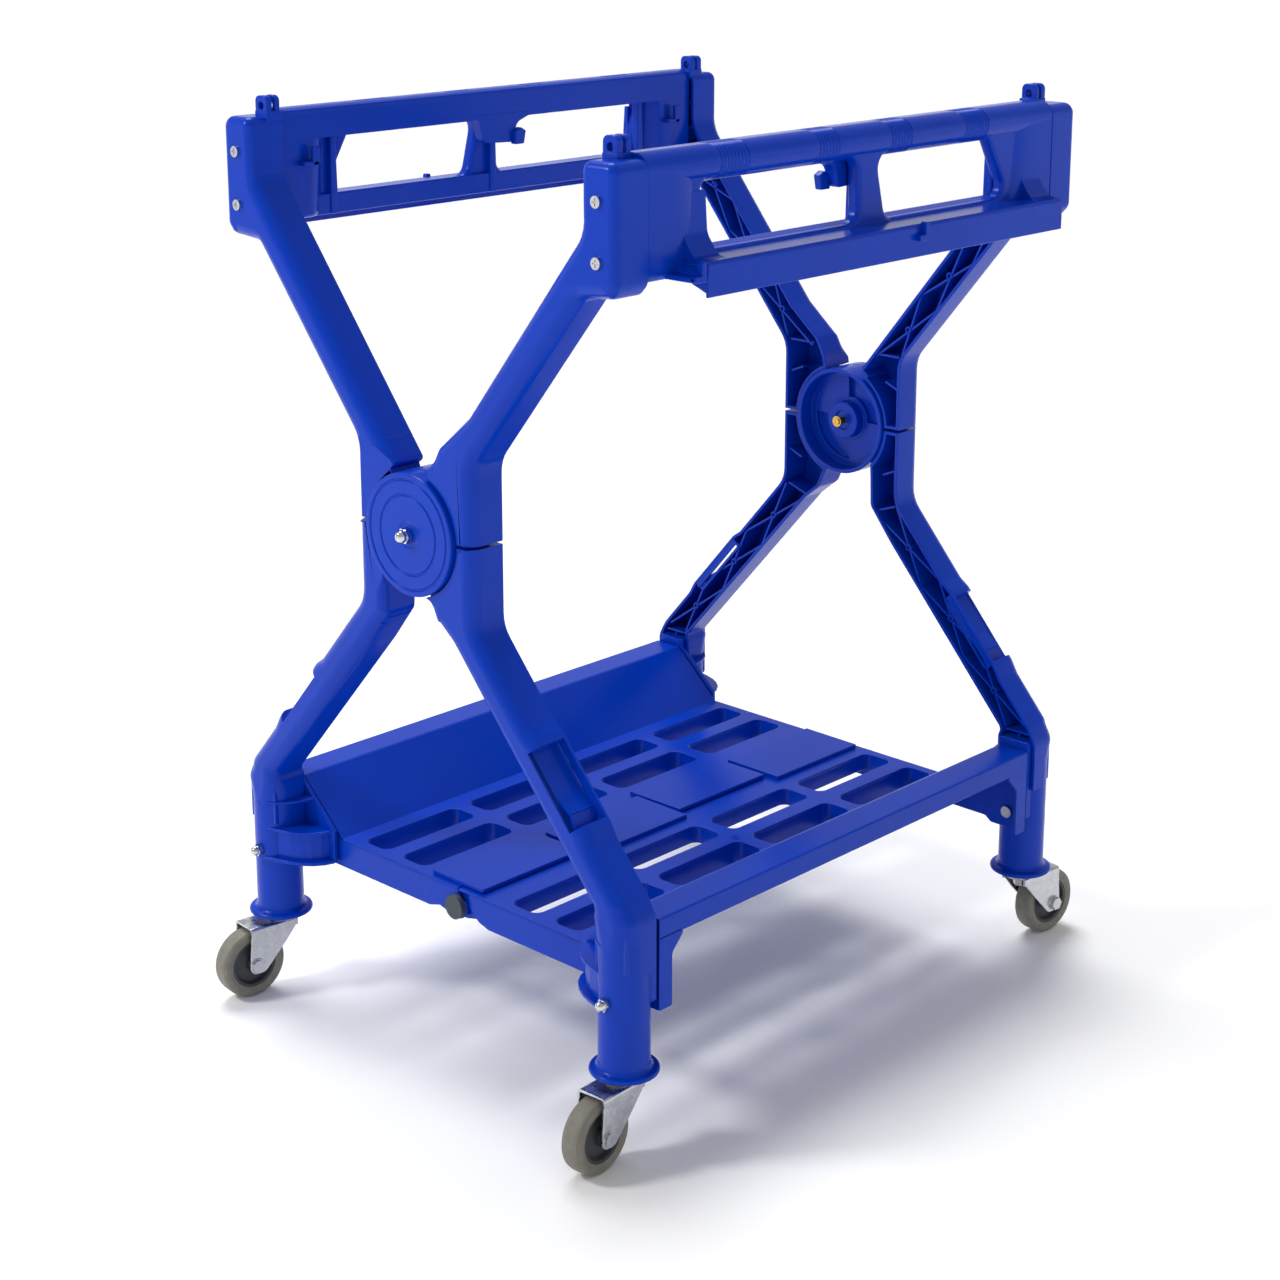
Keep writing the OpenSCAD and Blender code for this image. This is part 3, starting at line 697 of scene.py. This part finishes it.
def grip_ring(y, groove):
    """Round on top and outside, flat inside, and as thick as the heads beside it."""
    ring = [(237, y, 914.5), (237, y, 940), (238.8, y, 944.4), (243, y, 946.4)]
    for j in range(21):
        a = math.radians(90 - 180 * j / 20)
        ring.append((255 + (16.5 - groove) * math.cos(a), y, 930.4 + (16.5 - groove) * math.sin(a)))
    return ring


def rail(shape):
    stations = [(42.0, 0.7), (42.6, 0.0)]
    y = 60.0
    for low, high in GROOVES:
        while y < low:
            stations.append((y, 0.0))
            y += 18
        y = float(low)
        while y < high:
            stations.append((y, 0.5 - 0.5 * math.cos(2 * math.pi * (y - low) / 4.6)))
            y += 4.6 / 6
        stations.append((high + 0.4, 0.0))
        y = high + 14.0
    while y < 640:
        stations.append((y, 0.0))
        y += 18
    stations += [(647.4, 0.0), (648.0, 0.7)]
    shape.loft([grip_ring(y, groove) for y, groove in stations])
    # the thick wall below the grip, with two windows whose edges are rolled for the hand
    wall = box_loop(43, 647, 834, 930, 6)
    windows = [rounded([(111, 917.5, 13), (335, 917.5, 15), (338, 853.5, 15), (129, 853.5, 13)]),
               rounded([(364, 917.5, 15), (543, 917.5, 13), (580, 853.5, 13), (380, 853.5, 15)])]
    plate(shape, [wall] + windows, "yz", 251, 267, 5.2, 6)
    # end blocks as deep as the heads, which flare into the wall
    for low, s in ((42.1, 1), (647.9, -1)):
        rings = []
        for step, inner, outer, r in ((0, 237.8, 270.6, 6.0), (0.6, 237.1, 271.3, 6.5),
                                      (20, 237.1, 271.2, 7.0), (32, 237.3, 270.8, 7.0),
                                      (42, 238, 270, 7.0), (50, 243, 268.8, 6.6), (57, 251, 266.8, 5.6)):
            loop = box_loop(inner, outer, 834 + (1 if step == 0 else 0), 938, r)
            ring = []
            for a, b in loop:
                inside = min(1, max(0, (268 - a) / 30))
                slant = (0.11 * inside * (b - 834) + 0.13 * (1 - inside) * (938 - b)) * (step > 20)
                ring.append((a, low + s * (step + slant), b))
            rings.append(ring)
        shape.loft(rings)
    # lower channel, and the ledge with its turned-down lip
    plate(shape, [rounded([(246, 834, 2), (266.5, 834, 2), (266.5, 852, 2), (246, 856, 2)])], "xz", 43,
          647, 0.7)
    plate(shape, [rounded([(250, 850.6, 1), (300, 850.6, 4), (300, 819, 1.2), (297, 819, 1.2),
                           (296, 846.4, 2), (250, 846.4, 1)])], "xz", 88, 630, 0.9)
    sweep = rounded([(262, 849, 1), (299, 849.6, 0.5), (283, 852, 14), (270, 870, 16), (267.4, 908, 1),
                     (262, 908, 1)])
    for y, far_y in ((88.2, 120), (598, 629.8)):
        plate(shape, [sweep], "xz", y, far_y, 0.8)
    for y in (88, 627):
        plate(shape, [rounded([(262, 849, 1), (299, 849, 2), (299, 822, 2), (262, 836, 4)])], "xz",
              y + 0.4, y + 2.6, 0.8)
    # hooks on the lip, the middle bracket under the grip and the small inner tabs
    for y in (66, 384):
        plate(shape, [rounded([(y, 835), (y + 14, 835), (y + 14, 853), (y + 8, 853), (y + 8, 841),
                               (y, 841)], 1.6)], "yz", 299, 306, 1.0)
    plate(shape, [box_loop(262, 304, 66, 80, 1.5)], "xy", 835, 840, 1.0)
    plate(shape, [rounded([(387, 920, 2), (376, 914, 10), (368, 889, 6), (326, 887, 5), (320, 908, 12),
                           (300, 915, 3), (298, 920, 2)])], "yz", 236.6, 250, 1.4, 3)
    plate(shape, [rounded([(328, 899), (319, 903), (312, 899), (315, 885), (328, 885)], 1.4)], "yz",
          231, 239, 1.0)
    for y in (68, 604):
        plate(shape, [box_loop(226, 241, y, y + 20, 2)], "xy", 889, 893.4, 1.0)
        plate(shape, [box_loop(226, 231, y, y + 9, 1.2)], "xy", 889, 908, 1.0)
    for y in (349, 118, 572):
        plate(shape, [rounded([(y - 5, 834), (y + 5, 834), (y + 3, 930), (y - 3, 930)], 2)], "yz", 244,
              254, 1.6)


for name, place, body in (("rail_right", near, "frame_b"), ("rail_left", far, "frame_a")):
    made = Shape()
    rail(made)
    piece = object_of("moulded_" + name, made, place, body, [name],
                      moulded_blue_polypropylene)
    print(piece.name, len(piece.data.polygons), "faces")

# %% [markdown]
# The shelf halves hinge on a rod down the middle. Each has a deck with two rows of long pockets,
# a sloped panel up to a flat rim and ears that hang on the foot bolts. Raised fingers along the
# joint lie over the other half, so that nothing falls through when the shelf is open.

# %% shelf halves
DECK, EDGE, FIRST, LAST = 182.0, 237.5, 50.0, 640.0
ROWS, PITCH, LENGTH, PLACE = ((64, 102), (124, 160)), 146.0, 128.0, 62.0


def ring_xy(x0, x1, y0, y1, r, z):
    return [(a, b, z) for a, b in box_loop(x0, x1, y0, y1, r)]


def pocket(shape, x0, x1, y0, y1, depth):
    """The wall that hangs under one opening of the deck, tapered as it draws from the tool."""
    rings = []
    for grow, z in ((2.6, DECK - 1), (1.6, DECK - depth + 0.4), (1.2, DECK - depth), (-0.8, DECK - depth),
                    (-1.2, DECK - depth + 0.4), (0.2, DECK - 1.6), (0.6, DECK - 1)):
        rings.append(ring_xy(x0 - grow, x1 + grow, y0 - grow, y1 + grow, 10 + grow, z))
    shape.loft(rings, loop=True)


def shelf(shape, knuckle, inner_depth):
    deck = box_loop(1, 183, FIRST, LAST, 1)
    spots = [(x0, x1, PLACE + i * PITCH, PLACE + i * PITCH + LENGTH) for x0, x1 in ROWS
             for i in range(4)]
    plate(shape, [deck] + [box_loop(*s, 10) for s in spots], "xy", DECK - 3, DECK, 0.8)
    for s in spots:
        pocket(shape, *s, inner_depth if s[0] < 100 else 29)
    lathe_z(shape, (117, 340), [(2.6, DECK - 0.6), (2.6, DECK + 0.5), (4.6, DECK + 0.5),
                                (4.6, DECK - 0.6)], 32)
    # sloped panel, flat rim and turned-down edge in one section
    section = [(178, DECK - 3, 1), (181, DECK, 4), (242.5, EDGE, 6), (279, EDGE, 2.2),
               (279, 216, 1), (276, 216, 1), (276, EDGE - 3, 1.5), (243.6, EDGE - 3, 4),
               (182.6, DECK - 3, 3)]
    plate(shape, [rounded(section)], "xz", FIRST, LAST, 0.5)
    ends = rounded([(16, DECK - 1, 1), (181, DECK - 1, 4), (242, EDGE - 1, 5), (278.5, EDGE - 1, 2),
                    (278.5, 144, 3), (236, 144, 4), (228, 150, 4), (44, 150, 4), (30, 154, 5),
                    (16, 166, 3)])
    hole = [(foot_x + 4 * math.cos(a * math.pi / 12), pivot_z + 4 * math.sin(a * math.pi / 12))
            for a in range(24)]
    for y in (FIRST, LAST - 4):
        plate(shape, [ends, hole], "xz", y, y + 4, 0.8)
    for low, s in ((FIRST, 1), (LAST, -1)):
        ear = [(low, 144, 2), (low + s * 18, 144, 3), (low + s * 18, 198, 8),
               (low + s * 38, 219, 4), (low, 219, 1)]
        plate(shape, [rounded(ear)], "yz", 275.8, 279, 0.7)
    # ribs along the deck between and outside the rows
    for x, z in ((113, 154), (171, 150), (55, 166)):
        plate(shape, [box_loop(x - 1.4, x + 1.4, z, DECK - 1, 1)], "xz", FIRST + 2, LAST - 2, 0.4)
    for i in range(5):
        y = PLACE - 9 + i * PITCH
        plate(shape, [box_loop(56, 171, 162, DECK - 1, 1)], "xz", y - 1.4, y + 1.4, 0.4)
    # hinge plates round the rod
    for y in (knuckle, 2 * half_depth - knuckle - 4):
        plate(shape, [rounded([(-4, 168, 3), (-13, 172, 3), (-13, 156, 6), (-4, 149.5, 6),
                               (8, 150, 6), (40, 158, 4), (40, DECK - 1.5, 2), (0, DECK - 1.5, 2)])],
              "xz", y, y + 4, 0.7)
    # raised fingers that reach over the joint
    for i in (1, 3):
        y0, y1 = 57 + i * 145.5, 197 + i * 145.5
        top = [(45, DECK - 1, 0.6), (45, DECK + 4.4, 1), (-30, DECK + 5, 1), (-30, DECK + 1, 0.6),
               (0.5, DECK + 0.8, 0.5), (0.5, DECK - 1, 0.5)]
        plate(shape, [rounded(top)], "xz", y0, y1, 0.5)


for name, place, body, knuckle, inner_depth in (("shelf_right", near, "shelf_r", 54.6, 18.5),
                                                ("shelf_left", far, "shelf_l", 49.4, 29)):
    made = Shape()
    shelf(made, knuckle, inner_depth)
    gone = [n for n in (name, name.replace("shelf", "rim")) if n in frame["nodes"]]
    piece = object_of("moulded_" + name, made, place, body, gone,
                      moulded_blue_polypropylene)
    print(piece.name, len(piece.data.polygons), "faces")

# %% [markdown]
# A caster fork is pressed from one strip of sheet steel: two tapered cheeks hang from a crown that
# is bent over at both sides, and a rolled race sits on top of it. The cheeks lean back from the
# swivel to the axle, so that the wheel trails and turns into the way the cart is pushed.

# %% caster forks
WHEEL_Z, TRAIL = 37.5, 41.0


def fork(shape):
    cheek = rounded([(46.5, 79, 2), (50.6, 27.9, 9.4), (31.5, 27.9, 9.4), (5, 56, 8), (-7, 70, 8),
                     (-11, 79, 3)])
    ring = [(TRAIL + 4.1 * math.cos(a * math.pi / 10), WHEEL_Z + 4.1 * math.sin(a * math.pi / 10))
            for a in range(20)]
    for y in (-17, 14.6):
        plate(shape, [cheek, ring], "xz", y, y + 2.4, 0.6)
    for y, h in ((-17.9, 1.6), (16.3, 1.6)):
        lathe_y(shape, (TRAIL, WHEEL_Z), [(4.3, y), (8.4, y), (8.8, y + 0.4), (8.8, y + h - 0.4),
                                          (8.4, y + h), (4.3, y + h)], 40)
    crown = rounded([(-17.4, 71, 1), (-17.4, 80.6, 4), (17.4, 80.6, 4), (17.4, 71, 1),
                     (14.2, 71, 1), (14.2, 78.2, 1.8), (-14.2, 78.2, 1.8), (-14.2, 71, 1)])
    plate(shape, [crown], "yz", -10.4, 47, 0.5, 2)
    # the crown's rounded back and the lower ring of the race
    lathe_z(shape, (0, 0), soft_profile([(0, 77.5), (16.8, 77.5), (17, 80.8), (15, 81.2), (14.4, 81.8),
                                         (0, 81.8)], 0.8), 56)
    lathe_z(shape, (0, 0), soft_profile([(0, 66.5), (7, 66.5), (7.6, 68), (7.6, 77.6), (0, 77.6)], 0.6),
            6)


def placed_by(x, y, degrees):
    c, s = math.cos(math.radians(degrees)), math.sin(math.radians(degrees))
    return lambda p: ((x + p[0] * c - p[1] * s) * MM, (y + p[0] * s + p[1] * c) * MM, p[2] * MM)


def race(shape, x, y):
    profile = [(0, 82.0), (14.6, 82.0), (17.4, 82.6), (18.2, 83.6), (18.2, 84.6), (16.8, 85.0),
               (16.8, 85.4), (18.4, 85.8), (18.4, 86.9), (0, 86.9)]
    lathe_z(shape, (x, y), soft_profile(profile, 0.5), 56)


for letter in "abcd":
    pivot = [v / MM for v in joints["swivel_" + letter]["pos_m"]]
    axle = [v / MM for v in joints["roll_" + letter]["pos_m"]]
    heading = math.degrees(math.atan2(axle[1] - pivot[1], axle[0] - pivot[0]))
    made = Shape()
    fork(made)
    object_of("pressed_fork_" + letter, made, placed_by(pivot[0], pivot[1], heading),
              "swivel_" + letter, ["fork_" + letter], bright_zinc_plate)
for side, letters, body in (("left", "ad", "frame_b"), ("right", "bc", "frame_a")):
    made = Shape()
    for letter in letters:
        pivot = [v / MM for v in joints["swivel_" + letter]["pos_m"]]
        race(made, pivot[0], pivot[1])
    object_of("rolled_races_" + side, made, lambda p: tuple(v * MM for v in p), body,
              ["races_" + side], bright_zinc_plate)
print("forks and races made")

# %% [markdown]
# The remaining exact parts have the right shape already. They keep their mesh, get small rounded
# edges from a modifier and take the finish of the metal or plastic they are made of.

# %% finishes of the exact parts
FINISH = {"zinc_steel": bright_zinc_plate, "chrome": polished_nickel_chrome,
          "yellow_zinc": yellow_zinc_plate, "grey_cap": moulded_grey_nylon,
          "tyre_rubber": grey_non_marking_rubber, "wheel_plastic": dark_moulded_hub_plastic,
          "blue_plastic": moulded_blue_polypropylene}


def finish_node(node, width=0.5):
    part = bpy.data.objects[node]
    slot_name = {s["node"]: s["material_slot"] for s in frame["record"]["subparts"]}[node]
    if not part.data.materials:
        part.data.materials.append(FINISH[slot_name])
    for i in range(len(part.material_slots)):
        part.material_slots[i].link = "OBJECT"
        part.material_slots[i].material = FINISH[slot_name]
    rounding = part.modifiers.new("rounding", "BEVEL")
    rounding.width = width * MM
    rounding.segments = 2
    rounding.limit_method = "ANGLE"
    rounding.angle_limit = math.radians(35)


exact = [node for node in frame["nodes"] if node not in remade]
for node in exact:
    finish_node(node)
print("finished", len(exact), "exact parts")

# %% [markdown]
# A white floor under a wide bank of light from the upper left, a soft box in front, and studio walls
# that are white near the floor and darker above, so that the plastic keeps its deep colour.

# %% floor, light and camera
def white_floor():
    mesh = bpy.data.meshes.new("floor")
    mesh.from_pydata([(-40, -40, 0), (40, -40, 0), (40, 40, 0), (-40, 40, 0)], [], [(0, 1, 2, 3)])
    floor = bpy.data.objects.new("floor", mesh)
    bpy.context.scene.collection.objects.link(floor)
    mesh.materials.append(material_of("white_paper_floor", "#FFFFFF", "#FCFCFC", 900, 3, 0.01, 0.9,
                                      0.02))


def soft_light(name, place, aim, size, power):
    data = bpy.data.lights.new(name, "AREA")
    data.shape = "SQUARE"
    data.size = size
    data.energy = power
    lamp = bpy.data.objects.new(name, data)
    lamp.location = place
    lamp.rotation_mode = "QUATERNION"
    lamp.rotation_quaternion = (Vector(aim) - Vector(place)).to_track_quat("-Z", "Y")
    bpy.context.scene.collection.objects.link(lamp)


white_floor()
soft_light("front_box", (-1.5, -2.3, 2.6), (0, 0, 0.5), 0.6, 48)
# the wide overhead bank, from the left and a little behind
bank = bpy.data.lights.new("bank", "SUN")
bank.energy = 1.95
bank.angle = math.radians(32)
bank_lamp = bpy.data.objects.new("bank", bank)
bank_lamp.rotation_mode = "QUATERNION"
bank_lamp.rotation_quaternion = Vector((0.5, -0.28, -1)).to_track_quat("-Z", "Y")
bpy.context.scene.collection.objects.link(bank_lamp)

world = bpy.data.worlds.new("studio")
world.use_nodes = True
tree = world.node_tree
height = add_node(tree, "ShaderNodeSeparateXYZ", None,
                  {"Vector": add_node(tree, "ShaderNodeTexCoord").outputs["Generated"]})
walls = add_node(tree, "ShaderNodeValToRGB", None, {"Fac": height.outputs["Z"]})
walls.color_ramp.elements[0].position = 0.12
walls.color_ramp.elements[0].color = (1, 1, 1, 1)
walls.color_ramp.elements[1].position = 0.34
walls.color_ramp.elements[1].color = (0.45, 0.45, 0.45, 1)
tree.links.new(walls.outputs["Color"], tree.nodes["Background"].inputs["Color"])
bpy.context.scene.world = world
bpy.context.scene.view_settings.view_transform = "Standard"

# the view is given for a square frame 1280 units wide
FRAME, FOCAL, SHIFT = 1280, 2425.0, 180
yaw, pitch = math.radians(43.65), math.radians(14.31)
forward = Vector((-math.sin(yaw) * math.cos(pitch), math.cos(yaw) * math.cos(pitch),
                  -math.sin(pitch)))
lens = bpy.data.cameras.new("camera")
lens.sensor_width = 36.0
lens.lens = FOCAL / FRAME * lens.sensor_width
lens.shift_y = -SHIFT / FRAME
camera = bpy.data.objects.new("camera", lens)
camera.location = (1.6959, -1.46152 - half_depth * MM, 1.20539)
camera.rotation_mode = "QUATERNION"
camera.rotation_quaternion = forward.to_track_quat("-Z", "Y")
bpy.context.scene.collection.objects.link(camera)
bpy.context.scene.camera = camera
print("camera", [round(v, 3) for v in camera.location], "lens", round(lens.lens, 1))
